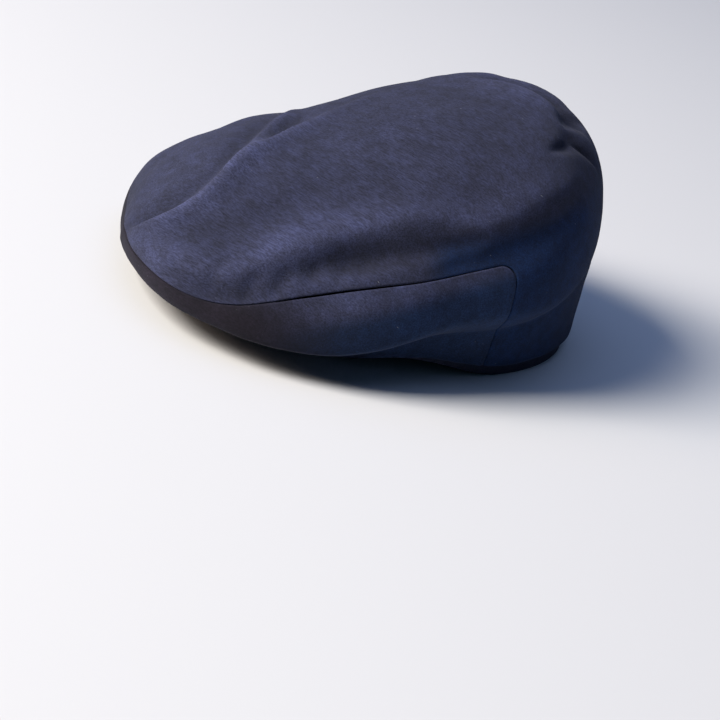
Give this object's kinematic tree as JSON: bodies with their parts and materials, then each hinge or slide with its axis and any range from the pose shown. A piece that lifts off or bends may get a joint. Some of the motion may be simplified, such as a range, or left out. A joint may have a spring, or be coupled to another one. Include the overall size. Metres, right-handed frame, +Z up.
{
  "type": "flat cap",
  "caption": "Flat cap of brushed navy cloth: a rounded top that runs from the peak's edge to the back of the rim, side panels, a stiff peak and an inner band.",
  "frame": {"origin": "under the middle of the cap's box, on the surface that it rests on", "axes": "+Z up, the peak points along -Y and the wearer's left is +X"},
  "size_m": [0.2204, 0.2416, 0.1235],
  "materials": {
    "cloth": "brushed wool with a short nap",
    "sweatband": "plain woven tape"
  },
  "bodies": {
    "root": {"top_panel": "cloth", "side_panel_left": "cloth", "side_panel_right": "cloth", "peak": "cloth", "sweatband": "sweatband"}
  },
  "joints": []
}
